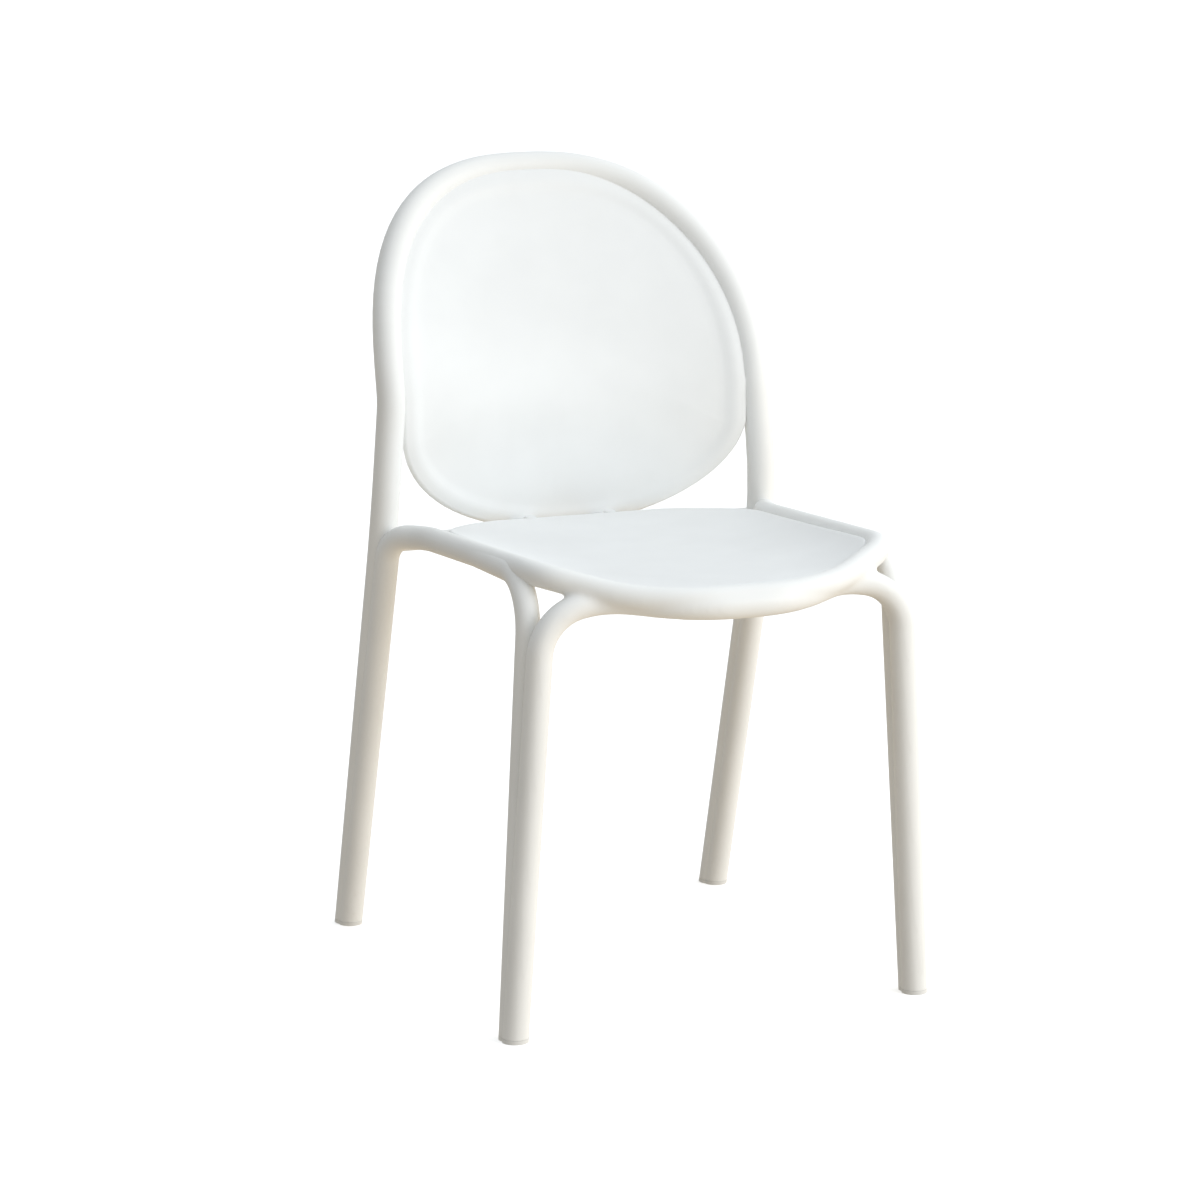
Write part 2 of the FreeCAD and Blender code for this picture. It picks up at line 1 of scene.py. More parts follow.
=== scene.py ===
"""Stacking chair: a moulded frame of bent tubes that carries a dished seat and an oval hollowed back.

The chair faces -Y, stands on Z = 0, and X = 0 is its plane of symmetry. Every size is in metres.
"""

import math

import bmesh
import bpy
from bpy.props import FloatProperty, FloatVectorProperty, IntProperty, PointerProperty
from mathutils import Matrix, Vector


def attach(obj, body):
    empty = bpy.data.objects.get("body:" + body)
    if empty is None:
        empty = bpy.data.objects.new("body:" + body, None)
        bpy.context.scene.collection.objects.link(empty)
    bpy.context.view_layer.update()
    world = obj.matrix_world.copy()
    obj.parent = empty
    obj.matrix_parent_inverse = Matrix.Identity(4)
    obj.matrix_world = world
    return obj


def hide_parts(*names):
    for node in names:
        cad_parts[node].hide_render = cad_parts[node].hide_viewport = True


bl_info = {
    "name": "Stacking Chair",
    "version": (1, 0, 0),
    "blender": (4, 5, 0),
    "location": "View3D > Sidebar > Chair",
    "description": "Builds a stacking chair with a moulded tube frame, a dished seat and an oval back",
    "category": "Add Mesh",
}

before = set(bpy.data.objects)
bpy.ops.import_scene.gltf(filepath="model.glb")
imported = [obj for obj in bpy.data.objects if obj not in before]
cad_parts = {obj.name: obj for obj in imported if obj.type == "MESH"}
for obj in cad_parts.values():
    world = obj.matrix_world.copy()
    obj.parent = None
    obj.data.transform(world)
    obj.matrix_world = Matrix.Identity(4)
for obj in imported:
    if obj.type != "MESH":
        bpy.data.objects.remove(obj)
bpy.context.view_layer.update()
UP = Vector((0, 0, 1))

# Routes of the frame's tubes on the chair's right: each corner, and the radius of its bend.
SEAT_FRAME_ROUTE = [
    ((0.2141, 0.2636, -0.0384), None),
    ((0.2130, 0.1233, 0.4395), 0.036),
    ((0.1880, 0.0798, 0.4430), 0.078),
    ((0.1870, -0.2017, 0.4540), 0.052),
    ((0.1100, -0.2517, 0.4330), 0.201),
    ((0.0500, -0.2737, 0.4300), 0.161),
]
FRONT_FRAME_ROUTE = [
    ((0.2188, -0.2198, -0.0399), None),
    ((0.1905, -0.2302, 0.4180), 0.051),
    ((0.1250, -0.2322, 0.4300), 0.080),
    ((0.0500, -0.2787, 0.4230), 0.139),
]
STRUT_ROUTE = [
    ((0.2192, -0.2112, -0.0399), None),
    ((0.1923, -0.2050, 0.4500), 0.056),
    ((0.1876, -0.0469, 0.4480), None),
]
REAR_LEG_ROUTE = [
    ((0.2135, 0.2710, -0.0385), None),
    ((0.2140, 0.1338, 0.4540), 0.400),
]
SEAT_EDGE_ROUTE = [
    ((0.0000, 0.1403, 0.0), None),
    ((0.1720, 0.1403, 0.0), 0.095),
    ((0.1780, -0.1968, 0.0), 0.043),
    ((0.1059, -0.2436, 0.0), 0.245),
    ((0.0484, -0.2647, 0.0), 0.155),
    ((0.0000, -0.2647, 0.0), None),
]

# Where the screws stand: the seat frame's lugs, the hoop's lugs and the two rows on the crossbar.
SEAT_LUGS = [(0.1690, 0.0600, 0.4398), (0.1690, -0.0400, 0.4437), (0.1690, -0.1400, 0.4476),
             (0.0500, -0.2557, 0.4260)]
BACK_LUGS = [(0.1831, 0.1642, 0.6309), (0.1410, 0.2264, 0.7298), (0.0, 0.2699, 0.7790)]
SEAT_FEET = [(0.1150, 0.1273, 0.4350)]
BACK_FEET = [(0.0450, 0.1553, 0.4350)]

# The panels' faces, the hoop's lean and round top, the back panel's feet and the rear crossbar.
PROUD = 0.0095
SEAT_FRONT = -0.2737
SEAT_REAR = 0.1403
SEAT_FRONT_HEIGHT = 0.4405
SEAT_FALL = 0.005
SEAT_SIDE_POWER = 4
UPRIGHT_Y = 0.1338
RECLINE_START = 0.550
RECLINE_DEPTH = 0.144
RECLINE_POWER = 1.75
RECLINE_SOFTNESS = 0.003
ARCH_TOP = 0.797
ARCH_START = 0.576
ARCH_HALF_WIDTH = 0.204
ARCH_POWER = 2 / 2.5
ARCH_STEPS = 22
BACK_WIDEST = 0.541
BACK_BOTTOM = 0.423
BACK_TAIL = 0.028
BACK_TAIL_POWER = 1.2
BACK_TAIL_SOFTNESS = 0.02
BACK_FADE_POWER = 4
SLOPE_STEP = 0.001
PANEL_INSET = 0.009
BOSS_RADIUS = 0.0065
BACK_FOOT_HALF = 0.014
BACK_FOOT_HEIGHT = 0.008
BACK_FOOT_WEB = 0.003
CROSSBAR_LOW = (-0.212, 0.1183, 0.423)
CROSSBAR_HIGH = (0.212, 0.1643, 0.435)

# The frame's lugs, the roundings of edges, and how sharp an edge is shaded as a corner.
LUG_RADIUS = 0.011
LUG_THICKNESS = 0.006
TUBE_END_ROUNDING = 0.0006
CROSSBAR_ROUNDING = 0.004
WEB_ROUNDING = 0.001
PANEL_BACK_ROUNDING = 0.0012
FRAME_CORNER = math.radians(35)
PANEL_CORNER = math.radians(50)

# A panel's rim: the widths of its rings from the edge inward, the share of the lip's height over which
# its edge turns down, the width of the back's roll, and the point that the inner rings shrink to.
SEAT_RIM_STEPS = [0.0005, 0.0009, 0.0012, 0.0016, 0.0024, 0.004]
BACK_RIM_STEPS = [0.0005, 0.0009, 0.0012, 0.0016, 0.0024, 0.0035, 0.004, 0.004, 0.004, 0.004]
NARROWEST_GROOVE = 0.0001
LIP_WIDTH_SHARE = 0.8
ROLL_WIDTH = 0.026
SEAT_CENTRE = (0, -0.06, 0)
BACK_CENTRE = (0, 0, 0.62)
FAR_INSIDE = 1.0
MIDDLE_MERGE = 0.00005
CLOSE_POINTS = 0.0002

# Where the seat frame and the front frame flow into each other, above one place and ahead of another,
# and how often the whole surface is evened out afterwards.
BLEND_ABOVE = 0.37
BLEND_AHEAD = -0.19
SURFACE_PASSES = 3

# Bends are made in steps of at most this angle, and straight runs in steps of about this length.
BEND_STEP = math.radians(5)
RUN_STEP = 0.012

# A bend between points that lie close together: its share of the room, its least radius, and the turn
# under which the route counts as straight, with the radius that it then has.
ROOM_SHARE = 0.49
LEAST_RADIUS = 0.001
STRAIGHT_TURN = 1e-4
STRAIGHT_RADIUS = 1.0

# How high the scuffs reach, and how much rougher the glides are than the frame.
SCUFF_HEIGHT = 0.09
GLIDE_SCUFF_HEIGHT = 0.05
GLIDE_EXTRA_ROUGHNESS = 0.12

# The stage: the floor, how the soft light changes with direction, the key light and the camera.
FLOOR_REACH = 40
FLOOR_GLOW = 0.42
WARM_BELOW = -0.35
COOL_ABOVE = 0.25
SIDE_REACH = 0.9
LEFT_STRENGTH = 0.42
RIGHT_STRENGTH = 1.30
KEY_SIZE = 2.4
KEY_COLOUR = (0.975, 0.99, 1.0)
KEY_PLACE = (2.3, -2.9, 1.9)
KEY_AIM = (0, 0, 0.5)
SENSOR_WIDTH = 36.0
CAMERA_SHIFT = -0.0208
CAMERA_PLACE = (-1.6944, -3.8803, 1.1932)
CAMERA_TURN = (math.radians(90 - 10.89), 0.0, math.radians(-23.53))


# ---------------------------------------------------------------- settings

class ChairFrameSizes(bpy.types.PropertyGroup):
    """Sections of the frame's tubes."""
    hoop_diameter: FloatProperty(name="Hoop", description="Outside diameter of the back hoop",
                                 default=0.029, min=0.01, max=0.06, unit="LENGTH")
    seat_frame_diameter: FloatProperty(name="Seat frame", description="Outside diameter of the seat frame",
                                       default=0.025, min=0.01, max=0.06, unit="LENGTH")
    front_diameter: FloatProperty(name="Front frame", description="Outside diameter of the front frame",
                                  default=0.026, min=0.01, max=0.06, unit="LENGTH")
    strut_diameter: FloatProperty(name="Struts", description="Outside diameter of a front strut",
                                  default=0.024, min=0.01, max=0.06, unit="LENGTH")
    sides: IntProperty(name="Sides", description="Faces round a tube", default=48, min=12, max=96)
    blend_cell: FloatProperty(name="Blend cell", description="Cell size where tubes flow into each other",
                              default=0.0021, min=0.001, max=0.006, unit="LENGTH")
    blend_passes: IntProperty(name="Blend passes", description="How much the joint of two tubes is rounded",
                              default=8, min=0, max=60)
    sole: FloatProperty(name="Sole", description="Thickness of a glide under its tubes",
                        default=0.004, min=0.001, max=0.01, unit="LENGTH")


class ChairPanelSizes(bpy.types.PropertyGroup):
    """Sizes of the seat and back panels."""
    thickness: FloatProperty(name="Thickness", description="Thickness of both panels",
                             default=0.006, min=0.002, max=0.01, unit="LENGTH")
    groove: FloatProperty(name="Groove", description="Gap between a panel and the tube round it",
                          default=0.0013, min=0.0, max=0.003, unit="LENGTH")
    lip: FloatProperty(name="Lip", description="How far a panel's rounded edge turns down into the groove",
                       default=0.0042, min=0.001, max=0.006, unit="LENGTH")
    roll: FloatProperty(name="Roll", description="Height of the back panel's rolled rim",
                        default=0.0022, min=0.0, max=0.006, unit="LENGTH")
    seat_hollow: FloatProperty(name="Seat hollow", description="Hollow of the seat along its centre line",
                               default=0.006, min=0.0, max=0.02, unit="LENGTH")
    back_dish: FloatProperty(name="Back dish", description="Depth of the back panel's hollow",
                             default=0.030, min=0.0, max=0.05, unit="LENGTH")
    rings: IntProperty(name="Rings", description="Rings of faces across a panel", default=22, min=6, max=60)


class ChairFinishes(bpy.types.PropertyGroup):
    """Colours and surface of the chair's plastics and steel."""
    frame_colour: FloatVectorProperty(name="Frame", description="Colour of the frame's plastic",
                                      subtype="COLOR", size=3, default=(0.885, 0.888, 0.872), min=0, max=1)
    panel_colour: FloatVectorProperty(name="Panels", description="Colour of the panels' plastic",
                                      subtype="COLOR", size=3, default=(0.872, 0.882, 0.878), min=0, max=1)
    glide_colour: FloatVectorProperty(name="Glides", description="Colour of the glides' plastic",
                                      subtype="COLOR", size=3, default=(0.80, 0.80, 0.78), min=0, max=1)
    screw_colour: FloatVectorProperty(name="Screws", description="Colour of the zinc-plated screws",
                                      subtype="COLOR", size=3, default=(0.62, 0.62, 0.63), min=0, max=1)
    roughness: FloatProperty(name="Roughness", description="Roughness of the moulded plastic",
                             default=0.54, min=0.05, max=1.0, subtype="FACTOR")
    grain: FloatProperty(name="Grain", description="Size of the plastic's moulded grain",
                         default=0.0008, min=0.0002, max=0.004, unit="LENGTH")


class ChairStage(bpy.types.PropertyGroup):
    """The floor, the light and the camera."""
    floor_colour: FloatVectorProperty(name="Floor", description="Colour of the pale floor",
                                      subtype="COLOR", size=3, default=(0.92, 0.92, 0.915), min=0, max=1)
    sky_colour: FloatVectorProperty(name="Upper light", description="Colour of the soft light from above",
                                    subtype="COLOR", size=3, default=(0.93, 0.97, 1.0), min=0, max=1)
    ground_colour: FloatVectorProperty(name="Lower light", description="Colour of the warm light from below",
                                       subtype="COLOR", size=3, default=(0.76, 0.66, 0.52), min=0, max=1)
    key_power: FloatProperty(name="Key light", description="Power of the large soft light",
                             default=55.0, min=0.0, max=1000.0, unit="POWER")
    focal_length: FloatProperty(name="Focal length", description="Focal length of the camera",
                                default=127.41, min=20.0, max=300.0, unit="CAMERA")


# ---------------------------------------------------------------- shaping

def along(section, offset_each, steps, mesh):
    """A section pushed along a straight run in equal steps. Returns its last place."""
    pushed = bmesh.ops.spin(mesh, geom=section, cent=(0, 0, 0), axis=UP, dvec=offset_each, angle=0,
                            steps=steps, use_duplicate=False)
    return pushed["geom_last"]


def bent_along(mesh, section, route):
    """A section of a tube or the pen of an outline, run along a route of straights and bends."""
    pen = Vector(route[0][0])
    for i in range(1, len(route) - 1):
        corner = Vector(route[i][0])
        radius = route[i][1]
        back = (Vector(route[i - 1][0]) - corner).normalized()
        onward = (Vector(route[i + 1][0]) - corner).normalized()
        turn = math.pi - back.angle(onward)
        reach = radius * math.tan(turn / 2)
        run = corner + back * reach - pen
        steps = max(1, round(run.length / RUN_STEP))
        section = along(section, run / steps, steps, mesh)
        centre = corner + (back + onward).normalized() * (radius / math.cos(turn / 2))
        spun = bmesh.ops.spin(mesh, geom=section, cent=centre, axis=(-back).cross(onward).normalized(),
                              dvec=(0, 0, 0), angle=turn, steps=max(1, math.ceil(turn / BEND_STEP)),
                              use_duplicate=False)
        section = spun["geom_last"]
        pen = corner + onward * reach
    run = Vector(route[-1][0]) - pen
    steps = max(1, round(run.length / RUN_STEP))
    return along(section, run / steps, steps, mesh)


def through(mesh, section, points):
    """A section carried through points that lie close together."""
    for point, onward in zip(points, points[1:]):
        section = along(section, Vector(onward) - Vector(point), 1, mesh)


def other_side(point):
    return (-point[0], point[1], point[2])


def both_sides(half, centre=()):
    """A symmetric route from the half on the chair's right, and any corners on its centre plane."""
    return half + list(centre) + [(other_side(point), radius) for point, radius in reversed(half)]


def bend_tube(mesh, route, diameter, sides):
    """A round tube with closed ends along a route."""
    start = Vector(route[0][0])
    heading = Vector(route[1][0]) - start
    place = Matrix.Translation(start) @ heading.to_track_quat("Z", "Y").to_matrix().to_4x4()
    circle = bmesh.ops.create_circle(mesh, cap_ends=True, segments=sides, radius=diameter / 2, matrix=place)
    ring = circle["verts"] + list({edge for vert in circle["verts"] for edge in vert.link_edges})
    last = bent_along(mesh, ring, route)
    bmesh.ops.contextual_create(mesh, geom=[item for item in last if isinstance(item, bmesh.types.BMEdge)])


def add_pin(mesh, base, direction, radius, length):
    """A short round pin, lug or boss."""
    heading = Vector(direction).to_track_quat("Z", "Y").to_matrix().to_4x4()
    place = Matrix.Translation(Vector(base) + Vector(direction) * (length / 2)) @ heading
    bmesh.ops.create_cone(mesh, cap_ends=True, segments=32, radius1=radius, radius2=radius, depth=length,
                          matrix=place)


def add_block(mesh, low, high, rounding):
    """A block between two corners, with rounded edges."""
    size = Vector(high) - Vector(low)
    place = Matrix.Translation((Vector(high) + Vector(low)) / 2) @ Matrix.Diagonal((*size, 1))
    cube = bmesh.ops.create_cube(mesh, size=1, matrix=place)
    edges = list({edge for vert in cube["verts"] for edge in vert.link_edges})
    bmesh.ops.bevel(mesh, geom=edges, offset=rounding, offset_type="OFFSET", segments=4, profile=0.5,
                    affect="EDGES", material=-1)


def cut_level(mesh, height, rounding):
    """Everything below a height is cut off, and the cut is closed and slightly rounded."""
    whole = list(mesh.verts) + list(mesh.edges) + list(mesh.faces)
    cut = bmesh.ops.bisect_plane(mesh, geom=whole, plane_co=(0, 0, height), plane_no=UP, clear_inner=True)
    rim = [item for item in cut["geom_cut"] if isinstance(item, bmesh.types.BMEdge)]
    caps = bmesh.ops.edgeloop_fill(mesh, edges=rim)["faces"]
    edges = list({edge for face in caps for edge in face.edges})
    bmesh.ops.bevel(mesh, geom=edges, offset=rounding, offset_type="OFFSET", segments=3, profile=0.5,
                    affect="EDGES", material=-1)


def even_out(mesh, verts, passes):
    """Vertices drawn half way towards their neighbours, a number of times."""
    for _ in range(passes):
        bmesh.ops.smooth_vert(mesh, verts=verts, factor=0.5, use_axis_x=True, use_axis_y=True,
                              use_axis_z=True)


def make_piece(name, mesh, material, replaced):
    """A finished piece from a mesh: it rides with the chair and stands for the nodes it replaces."""
    bmesh.ops.recalc_face_normals(mesh, faces=mesh.faces)
    data = bpy.data.meshes.new(name)
    mesh.to_mesh(data)
    mesh.free()
    data.shade_smooth()
    data.materials.append(material)
    piece = bpy.data.objects.new(name, data)
    bpy.context.scene.collection.objects.link(piece)
    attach(piece, "root")
    if replaced:
        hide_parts(*replaced)
    return piece


def sharpen(piece, angle):
    """Edges sharper than an angle are shaded as corners."""
    mesh = bmesh.new()
    mesh.from_mesh(piece.data)
    for edge in mesh.edges:
        edge.smooth = len(edge.link_faces) == 2 and edge.calc_face_angle() < angle
    mesh.to_mesh(piece.data)
    mesh.free()


def finished(kind):
    """The material of a kind of surface, made once."""
    made = bpy.data.materials.get(kind)
    if made is None:
        raise RuntimeError("the finishes come first: there is no material named " + kind)
    return made


# ---------------------------------------------------------------- faces of the panels

def rail_height(y):
    """Height of a side rail's axis."""
    (_, rear_y, rear_z), (_, front_y, front_z) = SEAT_FRAME_ROUTE[2][0], SEAT_FRAME_ROUTE[3][0]
    return rear_z + (front_z - rear_z) * (y - rear_y) / (front_y - rear_y)


def seat_height_at(x, y, hollow):
    """Height of the seat's face: gently hollow in the middle, rising to the side rails."""
    side = rail_height(y) + PROUD
    share = (y - SEAT_FRONT) / (SEAT_REAR - SEAT_FRONT)
    centre = SEAT_FRONT_HEIGHT + SEAT_FALL * share - hollow * math.sin(math.pi * min(max(share, 0), 1))
    across = abs(x) / SEAT_EDGE_ROUTE[2][0][0]
    return centre + (side - centre) * across ** SEAT_SIDE_POWER


def eased(value, width):
    """The value where it is above zero and nothing below, with a soft start in between."""
    return (value + math.sqrt(value * value + width)) / 2


def lean_at(z):
    """Fore-and-aft place of the hoop's axis."""
    rise = eased((z - RECLINE_START) / (ARCH_TOP - RECLINE_START), RECLINE_SOFTNESS)
    return UPRIGHT_Y + RECLINE_DEPTH * rise ** RECLINE_POWER


def back_place_at(x, z, dish):
    """Fore-and-aft place of the back's face: hollow across, its lower edge swept back."""
    slope = (lean_at(z) - lean_at(z - SLOPE_STEP)) / SLOPE_STEP
    across = 1 - (x / ARCH_HALF_WIDTH) ** 2
    fade = 1 - (max(z - BACK_WIDEST, 0) / (ARCH_TOP - BACK_WIDEST)) ** BACK_FADE_POWER
    sweep = eased((RECLINE_START - z) / (RECLINE_START - BACK_BOTTOM), BACK_TAIL_SOFTNESS)
    plain = lean_at(z) - PROUD * math.hypot(1, slope)
    return plain + dish * across * fade + BACK_TAIL * sweep ** BACK_TAIL_POWER


def arch_points(half_width, top, steps):
    """One side of the hoop's round top, as x and height, from its start up to beside the top."""
    points = []
    for step in range(steps):
        angle = math.pi / 2 * step / steps
        points.append((half_width * math.cos(angle) ** ARCH_POWER,
                       ARCH_START + (top - ARCH_START) * math.sin(angle) ** ARCH_POWER))
    return points


def smooth_bends(points):
    """A route through points that lie close together, each bend as large as its room."""
    route = [(points[0], None)]
    for before, corner, after in zip(points, points[1:], points[2:]):
        a = Vector(before) - Vector(corner)
        b = Vector(after) - Vector(corner)
        turn = math.pi - a.angle(b)
        reach = min(a.length, b.length) * ROOM_SHARE
        radius = max(reach / math.tan(turn / 2), LEAST_RADIUS) if turn > STRAIGHT_TURN else STRAIGHT_RADIUS
        route.append((corner, radius))
    return route + [(points[-1], None)]


def hoop_route():
    """The hoop from one foot over the top to the other."""
    arch = [(x, lean_at(z), z) for x, z in arch_points(ARCH_HALF_WIDTH, ARCH_TOP, ARCH_STEPS)]
    top = (0.0, lean_at(ARCH_TOP), ARCH_TOP)
    half = smooth_bends([REAR_LEG_ROUTE[1][0]] + arch + [top])[1:-1]
    crown = smooth_bends([arch[-1], top, other_side(arch[-1])])[1]
    return both_sides(REAR_LEG_ROUTE + half, [crown])


def back_edge_points():
    """One side of the back panel's outline, from the middle of its lower edge up to the top."""
    half_width = ARCH_HALF_WIDTH - PANEL_INSET
    points = []
    for step in range(ARCH_STEPS):
        angle = math.pi / 2 * (1 - step / ARCH_STEPS)
        points.append((half_width * math.cos(angle), 0.0,
                       BACK_WIDEST - (BACK_WIDEST - BACK_BOTTOM) * math.sin(angle)))
    points += [(x, 0.0, z) for x, z in arch_points(half_width, ARCH_TOP, ARCH_STEPS)]
    return points + [(0.0, 0.0, ARCH_TOP)]


# ---------------------------------------------------------------- panels

def inset_ring(mesh, core, step):
    """One more ring of faces inside a face's edge. Returns the vertices left on the ring's outer side."""
    known = set(mesh.verts)
    edge = set(core.verts)
    bmesh.ops.inset_region(mesh, faces=[core], thickness=step, use_even_offset=True, use_boundary=True)
    return (edge | (set(mesh.verts) - known)) - set(core.verts)


def panel_mesh(mesh, inward_steps, centre, rings):
    """Half an outline made into a flat panel: rim rings at given steps inside the edge, then rings to
    the centre. The first step is left open round the panel.

    Returns how far inside the edge each vertex of the rim lies. Those further in count as far inside."""
    half = list(mesh.verts) + list(mesh.edges)
    bmesh.ops.mirror(mesh, geom=half, matrix=Matrix.Identity(4), merge_dist=MIDDLE_MERGE, axis="X")
    bmesh.ops.remove_doubles(mesh, verts=mesh.verts, dist=CLOSE_POINTS)
    core = bmesh.ops.contextual_create(mesh, geom=list(mesh.edges))["faces"][0]
    gap = inset_ring(mesh, core, inward_steps[0])
    bmesh.ops.delete(mesh, geom=list(gap), context="VERTS")
    depth_inside = {}
    inside = 0.0
    for step in inward_steps[1:]:
        depth_inside.update({vert: inside for vert in inset_ring(mesh, core, step)})
        inside += step
    depth_inside.update({vert: inside for vert in core.verts})
    for ring in range(rings):
        depth_inside.update({vert: inside for vert in inset_ring(mesh, core, 0.0)})
        share = (rings - ring - 0.5) / (rings - ring + 0.5)
        bmesh.ops.scale(mesh, vec=(share, share, share), verts=list(core.verts),
                        space=Matrix.Translation(-Vector(centre)))
        inside += FAR_INSIDE
    bmesh.ops.poke(mesh, faces=[core])
    return depth_inside


def rim_drop(inside, lip):
    """How far a panel's rounded edge lies behind its plain face at a distance inside it."""
    return lip * max(1 - inside / (LIP_WIDTH_SHARE * lip), 0) ** 2


def rim_roll(inside, roll):
    """How far the back panel's rolled rim stands before its plain face at a distance inside its edge."""
    return roll * math.sin(math.pi * min(inside / ROLL_WIDTH, 1)) ** 2


def give_thickness(piece, thickness, rounding):
    """A panel's thickness behind its face, with the edge of its hidden side rounded. Returns its mesh."""
    solid = piece.modifiers.new("Thickness", "SOLIDIFY")
    solid.thickness = thickness
    solid.offset = -1
    bevel = piece.modifiers.new("Rounded edge", "BEVEL")
    bevel.width = rounding
    bevel.segments = 3
    bevel.limit_method = "ANGLE"
    bevel.angle_limit = PANEL_CORNER
    mesh = bmesh.new()
    mesh.from_object(piece, bpy.context.evaluated_depsgraph_get())
    piece.modifiers.clear()
    return mesh


def fit_bosses(piece, mesh, pins, blocks):
    """The screw bosses and the webs of the feet behind a panel.

    Each pin is a base, a direction and a length, and each block is two opposite corners."""
    for base, direction, length in pins:
        add_pin(mesh, base, direction, BOSS_RADIUS, length)
    for low, high in blocks:
        add_block(mesh, low, high, WEB_ROUNDING)
    bmesh.ops.recalc_face_normals(mesh, faces=mesh.faces)
    mesh.to_mesh(piece.data)
    mesh.free()
    piece.data.shade_smooth()
    sharpen(piece, PANEL_CORNER)


# ---------------------------------------------------------------- materials

def node(tree, kind, **values):
    """A shader node with its named inputs or properties set."""
    made = tree.nodes.new(kind)
    for name, value in values.items():
        if name in made.inputs:
            made.inputs[name].default_value = value
        else:
            setattr(made, name, value)
    return made


def link(tree, source, output, target, socket):
    tree.links.new(source.outputs[output], target.inputs[socket])


def graded(tree, source, output, low_in, high_in, low_out, high_out):
    """A value carried from one range to another."""
    ramp = node(tree, "ShaderNodeMapRange")
    ranges = {"From Min": low_in, "From Max": high_in, "To Min": low_out, "To Max": high_out}
    for name, value in ranges.items():
        ramp.inputs[name].default_value = value
    link(tree, source, output, ramp, "Value")
    return ramp


def new_surface(name):
    """A material with a bare Principled shader. Returns the material, its tree and the shader."""
    material = bpy.data.materials.new(name)
    material.use_nodes = True
    tree = material.node_tree
    tree.nodes.clear()
    shader = node(tree, "ShaderNodeBsdfPrincipled")
    output = node(tree, "ShaderNodeOutputMaterial")
    link(tree, shader, "BSDF", output, "Surface")
    return material, tree, shader


def tinted(colour, factor):
    return (*[min(channel * factor, 1) for channel in colour], 1)


def moulded_plastic(name, colour, roughness, grain, scuff_height):
    """Satin moulded plastic: fine grain, faint clouds of colour, and scuffs that thin out upwards."""
    material, tree, shader = new_surface(name)
    shader.inputs["IOR"].default_value = 1.49
    shader.inputs["Specular IOR Level"].default_value = 0.5
    shader.inputs["Coat Weight"].default_value = 0.06
    shader.inputs["Coat Roughness"].default_value = 0.28
    where = node(tree, "ShaderNodeTexCoord")

    # Faint clouds of colour, as where the melt cooled at different speeds
    clouds = node(tree, "ShaderNodeTexNoise", Scale=9.0, Detail=3.0, Roughness=0.55)
    link(tree, where, "Object", clouds, "Vector")
    cloud_share = graded(tree, clouds, "Fac", 0.35, 0.65, 0.0, 1.0)
    body = node(tree, "ShaderNodeMix", data_type="RGBA")
    body.inputs["A"].default_value = tinted(colour, 0.975)
    body.inputs["B"].default_value = tinted(colour, 1.012)
    link(tree, cloud_share, "Result", body, "Factor")

    # Handling marks: sparse, soft and a little darker, thickest near the floor
    rub = node(tree, "ShaderNodeTexNoise", Scale=38.0, Detail=6.0, Roughness=0.7)
    stretch = node(tree, "ShaderNodeMapping")
    stretch.inputs["Scale"].default_value = (1.0, 1.0, 0.22)
    link(tree, where, "Object", stretch, "Vector")
    link(tree, stretch, "Vector", rub, "Vector")
    height = node(tree, "ShaderNodeSeparateXYZ")
    link(tree, where, "Object", height, "Vector")
    low_down = graded(tree, height, "Z", 0.0, scuff_height, 1.0, 0.06)
    marks = graded(tree, rub, "Fac", 0.56, 0.74, 0.0, 0.30)
    scuffs = node(tree, "ShaderNodeMath", operation="MULTIPLY")
    link(tree, low_down, "Result", scuffs, 0)
    link(tree, marks, "Result", scuffs, 1)
    worn = node(tree, "ShaderNodeMix", data_type="RGBA")
    worn.inputs["B"].default_value = tinted((0.60, 0.57, 0.52), 1.0)
    link(tree, scuffs, "Value", worn, "Factor")
    link(tree, body, "Result", worn, "A")
    link(tree, worn, "Result", shader, "Base Color")

    # Roughness varies with the clouds and rises in the grain
    speckle = node(tree, "ShaderNodeTexNoise", Scale=1.0 / grain, Detail=2.0, Roughness=0.5)
    link(tree, where, "Object", speckle, "Vector")
    sheen_change = graded(tree, clouds, "Fac", 0.3, 0.7, roughness - 0.03, roughness + 0.03)
    speckled = graded(tree, speckle, "Fac", 0.3, 0.7, -0.025, 0.035)
    total = node(tree, "ShaderNodeMath", operation="ADD")
    link(tree, sheen_change, "Result", total, 0)
    link(tree, speckled, "Result", total, 1)
    link(tree, total, "Value", shader, "Roughness")

    # Moulded grain, with a much longer and gentler ripple under it
    ripple = node(tree, "ShaderNodeTexNoise", Scale=26.0, Detail=1.0, Roughness=0.4)
    link(tree, where, "Object", ripple, "Vector")
    wave = node(tree, "ShaderNodeBump", Strength=0.10, Distance=0.0012)
    link(tree, ripple, "Fac", wave, "Height")
    pits = node(tree, "ShaderNodeBump", Strength=0.22, Distance=0.00012)
    link(tree, speckle, "Fac", pits, "Height")
    link(tree, wave, "Normal", pits, "Normal")
    link(tree, pits, "Normal", shader, "Normal")
    return material


